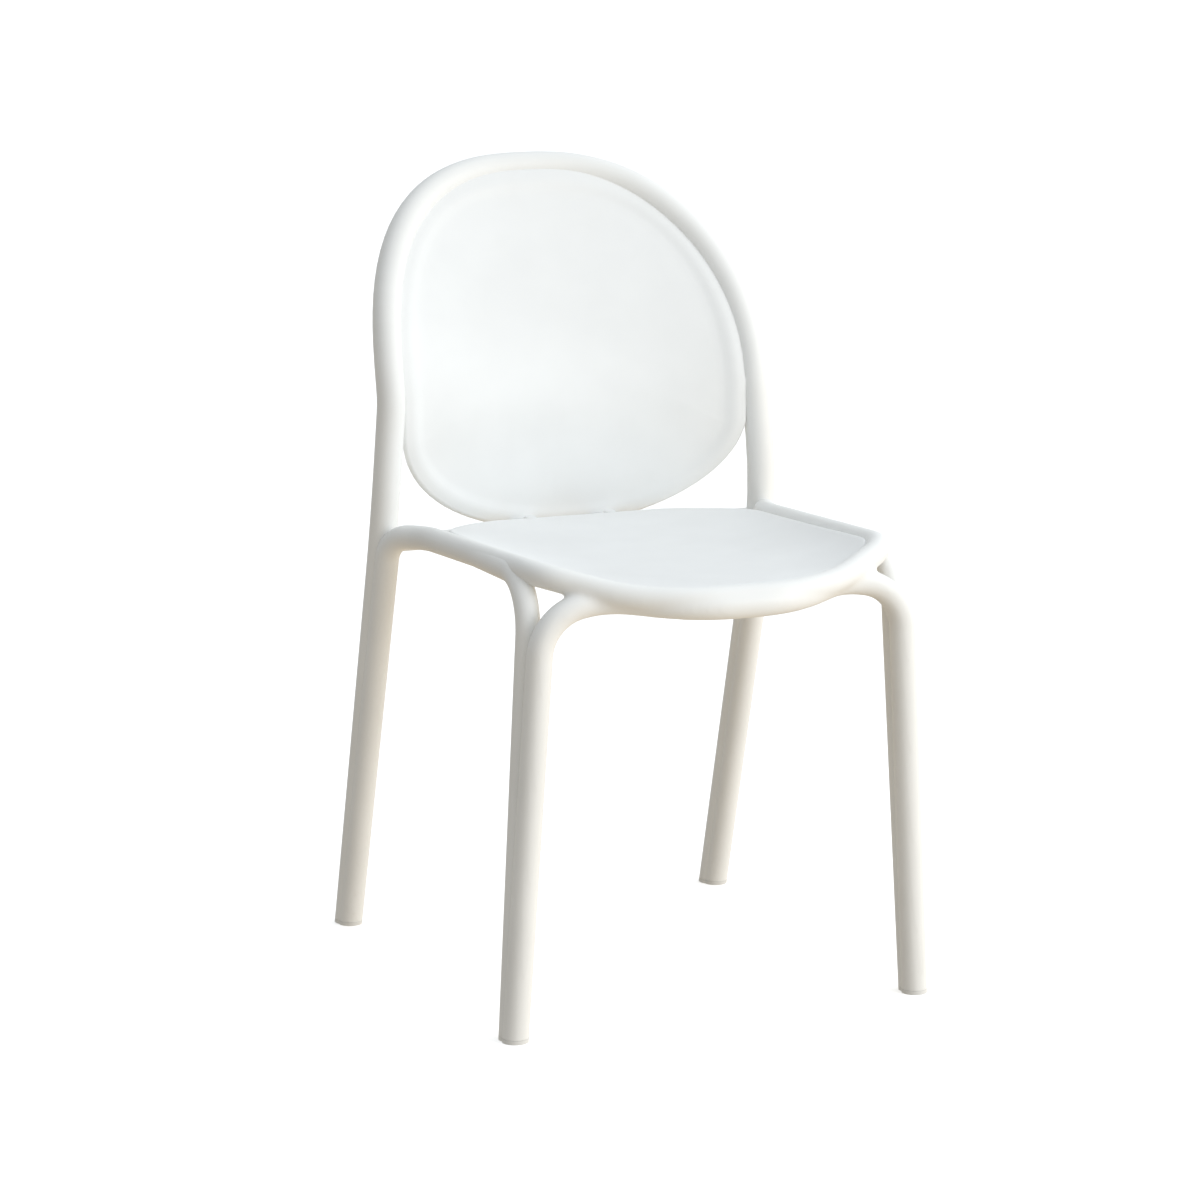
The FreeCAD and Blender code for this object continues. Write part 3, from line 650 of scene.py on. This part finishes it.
def zinc_plate(name, colour):
    """Mottled zinc plate: its colour, roughness and height vary in small patches."""
    material, tree, shader = new_surface(name)
    shader.inputs["Metallic"].default_value = 1.0
    where = node(tree, "ShaderNodeTexCoord")
    patches = node(tree, "ShaderNodeTexNoise", Scale=420.0, Detail=4.0, Roughness=0.6)
    link(tree, where, "Object", patches, "Vector")
    shade = node(tree, "ShaderNodeMix", data_type="RGBA")
    shade.inputs["A"].default_value = tinted(colour, 0.82)
    shade.inputs["B"].default_value = tinted(colour, 1.08)
    link(tree, patches, "Fac", shade, "Factor")
    link(tree, shade, "Result", shader, "Base Color")
    dull = graded(tree, patches, "Fac", 0.3, 0.7, 0.26, 0.42)
    link(tree, dull, "Result", shader, "Roughness")
    uneven = node(tree, "ShaderNodeBump", Strength=0.15, Distance=0.0001)
    link(tree, patches, "Fac", uneven, "Height")
    link(tree, uneven, "Normal", shader, "Normal")
    return material


def painted_floor(name, colour):
    """A plain pale matt floor with a little light of its own."""
    material, tree, shader = new_surface(name)
    where = node(tree, "ShaderNodeTexCoord")
    mottle = node(tree, "ShaderNodeTexNoise", Scale=1.6, Detail=2.0, Roughness=0.5)
    link(tree, where, "Object", mottle, "Vector")
    tone = node(tree, "ShaderNodeMix", data_type="RGBA")
    tone.inputs["A"].default_value = tinted(colour, 0.995)
    tone.inputs["B"].default_value = tinted(colour, 1.005)
    link(tree, mottle, "Fac", tone, "Factor")
    link(tree, tone, "Result", shader, "Base Color")
    shader.inputs["Roughness"].default_value = 0.9
    shader.inputs["Specular IOR Level"].default_value = 0.1
    shader.inputs["Emission Color"].default_value = (1.0, 1.0, 1.0, 1.0)
    shader.inputs["Emission Strength"].default_value = FLOOR_GLOW
    return material


# ---------------------------------------------------------------- operators

class CHAIR_OT_finishes(bpy.types.Operator):
    """Make the chair's plastics and steel, and give them to the screws, whose shape stays"""
    bl_idname = "chair.finishes"
    bl_label = "Finishes"

    def execute(self, context):
        look = context.scene.chair_finishes
        moulded_plastic("satin_frame", look.frame_colour, look.roughness, look.grain, SCUFF_HEIGHT)
        moulded_plastic("satin_panel", look.panel_colour, look.roughness, look.grain, SCUFF_HEIGHT)
        moulded_plastic("matt_glide", look.glide_colour, look.roughness + GLIDE_EXTRA_ROUGHNESS, look.grain,
                        GLIDE_SCUFF_HEIGHT)
        steel = zinc_plate("screw_zinc", look.screw_colour)
        for name in ("seat_panel_screws", "back_panel_screws", "crossbar_screws"):
            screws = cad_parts[name]
            screws.data.materials.clear()
            screws.data.materials.append(steel)
        return {"FINISHED"}


class CHAIR_OT_back_hoop(bpy.types.Operator):
    """Bend the back hoop: rear legs, uprights and the round top, with the lugs behind the back panel"""
    bl_idname = "chair.back_hoop"
    bl_label = "Back hoop"

    def execute(self, context):
        tubes = context.scene.chair_frame
        mesh = bmesh.new()
        bend_tube(mesh, hoop_route(), tubes.hoop_diameter, tubes.sides)
        cut_level(mesh, tubes.sole, TUBE_END_ROUNDING)
        for x, y, z in BACK_LUGS:
            for side in sorted({x, -x}):
                add_pin(mesh, (side, y, z), (0, 1, 0), LUG_RADIUS, LUG_THICKNESS)
        piece = make_piece("back_hoop_moulding", mesh, finished("satin_frame"),
                           ["back_hoop"])
        sharpen(piece, FRAME_CORNER)
        return {"FINISHED"}


class CHAIR_OT_seat_and_front_frame(bpy.types.Operator):
    """Bend the seat frame and the front frame, and let them flow into each other under the seat's front"""
    bl_idname = "chair.seat_and_front_frame"
    bl_label = "Seat and front frame"

    def execute(self, context):
        tubes = context.scene.chair_frame
        mesh = bmesh.new()
        bend_tube(mesh, both_sides(SEAT_FRAME_ROUTE), tubes.seat_frame_diameter, tubes.sides)
        bend_tube(mesh, both_sides(FRONT_FRAME_ROUTE), tubes.front_diameter, tubes.sides)
        for x, y, z in SEAT_LUGS:
            for side in (x, -x):
                add_pin(mesh, (side, y, z - LUG_THICKNESS), (0, 0, 1), LUG_RADIUS, LUG_THICKNESS)
        piece = make_piece("seat_and_front_frame", mesh, finished("satin_frame"),
                           ["seat_frame", "front_frame"])
        flow = piece.modifiers.new("Flow", "REMESH")
        flow.mode = "VOXEL"
        flow.voxel_size = tubes.blend_cell
        flow.use_smooth_shade = True
        blended = bpy.data.meshes.new_from_object(piece.evaluated_get(context.evaluated_depsgraph_get()))
        piece.modifiers.clear()
        mesh = bmesh.new()
        mesh.from_mesh(blended)
        joint = [vert for vert in mesh.verts if vert.co.z > BLEND_ABOVE and vert.co.y < BLEND_AHEAD]
        even_out(mesh, joint, tubes.blend_passes)
        even_out(mesh, mesh.verts, SURFACE_PASSES)
        cut_level(mesh, tubes.sole, TUBE_END_ROUNDING)
        bmesh.ops.recalc_face_normals(mesh, faces=mesh.faces)
        mesh.to_mesh(piece.data)
        mesh.free()
        bpy.data.meshes.remove(blended)
        piece.data.shade_smooth()
        return {"FINISHED"}


class CHAIR_OT_struts(bpy.types.Operator):
    """Bend the strut behind each front leg, which runs into the side rail"""
    bl_idname = "chair.struts"
    bl_label = "Front struts"

    def execute(self, context):
        tubes = context.scene.chair_frame
        for side in ("right", "left"):
            mesh = bmesh.new()
            route = STRUT_ROUTE if side == "right" else [(other_side(p), r) for p, r in STRUT_ROUTE]
            bend_tube(mesh, route, tubes.strut_diameter, tubes.sides)
            cut_level(mesh, tubes.sole, TUBE_END_ROUNDING)
            piece = make_piece(side + "_strut_moulding", mesh, finished("satin_frame"),
                               [side + "_front_strut"])
            sharpen(piece, FRAME_CORNER)
        return {"FINISHED"}


class CHAIR_OT_crossbar(bpy.types.Operator):
    """Make the bar between the rear legs, with its rounded edges"""
    bl_idname = "chair.crossbar"
    bl_label = "Rear crossbar"

    def execute(self, context):
        mesh = bmesh.new()
        add_block(mesh, CROSSBAR_LOW, CROSSBAR_HIGH, CROSSBAR_ROUNDING)
        piece = make_piece("rear_crossbar_moulding", mesh, finished("satin_frame"),
                           ["rear_crossbar"])
        sharpen(piece, FRAME_CORNER)
        return {"FINISHED"}


class CHAIR_OT_glides(bpy.types.Operator):
    """Give the glides in the feet their plastic; their shape stays"""
    bl_idname = "chair.glides"
    bl_label = "Glides"

    def execute(self, context):
        for name in ("left_front_glide", "right_front_glide", "left_rear_glide", "right_rear_glide"):
            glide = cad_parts[name]
            glide.data.materials.clear()
            glide.data.materials.append(finished("matt_glide"))
        return {"FINISHED"}


class CHAIR_OT_seat_panel(bpy.types.Operator):
    """Shape the dished seat panel, its rounded edge and the bosses under it"""
    bl_idname = "chair.seat_panel"
    bl_label = "Seat panel"

    def execute(self, context):
        sizes = context.scene.chair_panels
        mesh = bmesh.new()
        pen = mesh.verts.new(SEAT_EDGE_ROUTE[0][0])
        bent_along(mesh, [pen], SEAT_EDGE_ROUTE)
        steps = [max(sizes.groove, NARROWEST_GROOVE)] + SEAT_RIM_STEPS
        inside = panel_mesh(mesh, steps, SEAT_CENTRE, sizes.rings)
        for vert in mesh.verts:
            lower = rim_drop(inside.get(vert, FAR_INSIDE), sizes.lip)
            vert.co.z = seat_height_at(vert.co.x, vert.co.y, sizes.seat_hollow) - lower
        piece = make_piece("seat_panel_shell", mesh, finished("satin_panel"), ["seat_panel"])
        mesh = give_thickness(piece, sizes.thickness, PANEL_BACK_ROUNDING)
        pins = []
        for x, y, z in SEAT_LUGS + SEAT_FEET:
            length = seat_height_at(x, y, sizes.seat_hollow) - sizes.thickness / 2 - z
            pins += [((side, y, z), (0, 0, 1), length) for side in (x, -x)]
        fit_bosses(piece, mesh, pins, [])
        return {"FINISHED"}


class CHAIR_OT_back_panel(bpy.types.Operator):
    """Shape the oval back panel, its rolled rim and hollow, and the bosses and feet behind it"""
    bl_idname = "chair.back_panel"
    bl_label = "Back panel"

    def execute(self, context):
        sizes = context.scene.chair_panels
        mesh = bmesh.new()
        points = back_edge_points()
        pen = mesh.verts.new(points[0])
        through(mesh, [pen], points)
        steps = [max(sizes.groove, NARROWEST_GROOVE)] + BACK_RIM_STEPS
        inside = panel_mesh(mesh, steps, BACK_CENTRE, sizes.rings)
        for vert in mesh.verts:
            depth = inside.get(vert, FAR_INSIDE)
            behind = rim_drop(depth, sizes.lip) - rim_roll(depth, sizes.roll)
            vert.co.y = back_place_at(vert.co.x, vert.co.z, sizes.back_dish) + behind
        piece = make_piece("back_panel_shell", mesh, finished("satin_panel"), ["back_panel"])
        mesh = give_thickness(piece, sizes.thickness, PANEL_BACK_ROUNDING)
        pins = []
        for x, y, z in BACK_LUGS:
            length = y - back_place_at(x, z, sizes.back_dish) - sizes.thickness / 2
            pins += [((side, y, z), (0, -1, 0), length) for side in sorted({x, -x})]
        feet = []
        for x, y, z in BACK_FEET:
            reach = back_place_at(x, z + BACK_FOOT_WEB / 2, sizes.back_dish) + sizes.thickness / 2
            for side in (x, -x):
                feet.append(((side - BACK_FOOT_HALF, y - BOSS_RADIUS, z),
                             (side + BACK_FOOT_HALF, reach, z + BACK_FOOT_WEB)))
                pins.append(((side, y, z), (0, 0, 1), BACK_FOOT_HEIGHT))
        fit_bosses(piece, mesh, pins, feet)
        return {"FINISHED"}


class CHAIR_OT_stage(bpy.types.Operator):
    """Lay the floor, and set the soft light and the camera"""
    bl_idname = "chair.stage"
    bl_label = "Stage"

    def execute(self, context):
        stage = context.scene.chair_stage
        mesh = bmesh.new()
        bmesh.ops.create_grid(mesh, x_segments=8, y_segments=8, size=FLOOR_REACH)
        data = bpy.data.meshes.new("floor")
        mesh.to_mesh(data)
        mesh.free()
        data.materials.append(painted_floor("floor_paint", stage.floor_colour))
        floor = bpy.data.objects.new("floor", data)
        context.scene.collection.objects.link(floor)
        # The floor is only seen: it neither lights nor shades the chair, nor shows in its sheen
        floor.visible_diffuse = False
        floor.visible_glossy = False
        floor.visible_shadow = False

        world = bpy.data.worlds.new("studio")
        context.scene.world = world
        world.use_nodes = True
        tree = world.node_tree
        tree.nodes.clear()
        direction = node(tree, "ShaderNodeTexCoord")
        split = node(tree, "ShaderNodeSeparateXYZ")
        link(tree, direction, "Generated", split, "Vector")
        above = graded(tree, split, "Z", WARM_BELOW, COOL_ABOVE, 0.0, 1.0)
        above.interpolation_type = "SMOOTHSTEP"
        colour = node(tree, "ShaderNodeMix", data_type="RGBA")
        colour.inputs["A"].default_value = (*stage.ground_colour, 1)
        colour.inputs["B"].default_value = (*stage.sky_colour, 1)
        link(tree, above, "Result", colour, "Factor")
        strength = graded(tree, split, "X", -SIDE_REACH, SIDE_REACH, LEFT_STRENGTH, RIGHT_STRENGTH)
        studio = node(tree, "ShaderNodeBackground")
        link(tree, colour, "Result", studio, "Color")
        link(tree, strength, "Result", studio, "Strength")
        output = node(tree, "ShaderNodeOutputWorld")
        link(tree, studio, "Background", output, "Surface")

        lamp = bpy.data.lights.new("key_softbox", "AREA")
        lamp.shape = "SQUARE"
        lamp.size = KEY_SIZE
        lamp.energy = stage.key_power
        lamp.color = KEY_COLOUR
        key = bpy.data.objects.new("key_softbox", lamp)
        key.location = KEY_PLACE
        key.rotation_euler = (Vector(KEY_AIM) - key.location).to_track_quat("-Z", "Y").to_euler()
        context.scene.collection.objects.link(key)

        lens = bpy.data.cameras.new("camera")
        lens.lens = stage.focal_length
        lens.sensor_width = SENSOR_WIDTH
        lens.shift_x = CAMERA_SHIFT
        camera = bpy.data.objects.new("camera", lens)
        camera.location = CAMERA_PLACE
        camera.rotation_euler = CAMERA_TURN
        context.scene.collection.objects.link(camera)
        context.scene.camera = camera
        context.scene.view_settings.view_transform = "Standard"
        return {"FINISHED"}


class CHAIR_PT_builder(bpy.types.Panel):
    """The chair's sizes and the operators that build it"""
    bl_idname = "CHAIR_PT_builder"
    bl_label = "Stacking chair"
    bl_space_type = "VIEW_3D"
    bl_region_type = "UI"
    bl_category = "Chair"

    def draw(self, context):
        scene = context.scene
        for settings in (scene.chair_frame, scene.chair_panels, scene.chair_finishes, scene.chair_stage):
            box = self.layout.box()
            for name in settings.__annotations__:
                box.prop(settings, name)
        for operator in BUILDERS:
            self.layout.operator(operator.bl_idname)


SETTINGS = {"chair_frame": ChairFrameSizes, "chair_panels": ChairPanelSizes, "chair_finishes": ChairFinishes,
            "chair_stage": ChairStage}
BUILDERS = [CHAIR_OT_finishes, CHAIR_OT_back_hoop, CHAIR_OT_seat_and_front_frame, CHAIR_OT_struts,
            CHAIR_OT_crossbar, CHAIR_OT_glides, CHAIR_OT_seat_panel, CHAIR_OT_back_panel, CHAIR_OT_stage]
CLASSES = [*SETTINGS.values(), *BUILDERS, CHAIR_PT_builder]


def register():
    for kind in CLASSES:
        bpy.utils.register_class(kind)
    for name, kind in SETTINGS.items():
        setattr(bpy.types.Scene, name, PointerProperty(type=kind))


def unregister():
    for name in SETTINGS:
        delattr(bpy.types.Scene, name)
    for kind in reversed(CLASSES):
        bpy.utils.unregister_class(kind)


def main():
    """Build the whole chair."""
    register()
    bpy.ops.chair.finishes()
    bpy.ops.chair.back_hoop()
    bpy.ops.chair.seat_and_front_frame()
    bpy.ops.chair.struts()
    bpy.ops.chair.crossbar()
    bpy.ops.chair.glides()
    bpy.ops.chair.seat_panel()
    bpy.ops.chair.back_panel()
    bpy.ops.chair.stage()


if __name__ == "__main__":
    main()
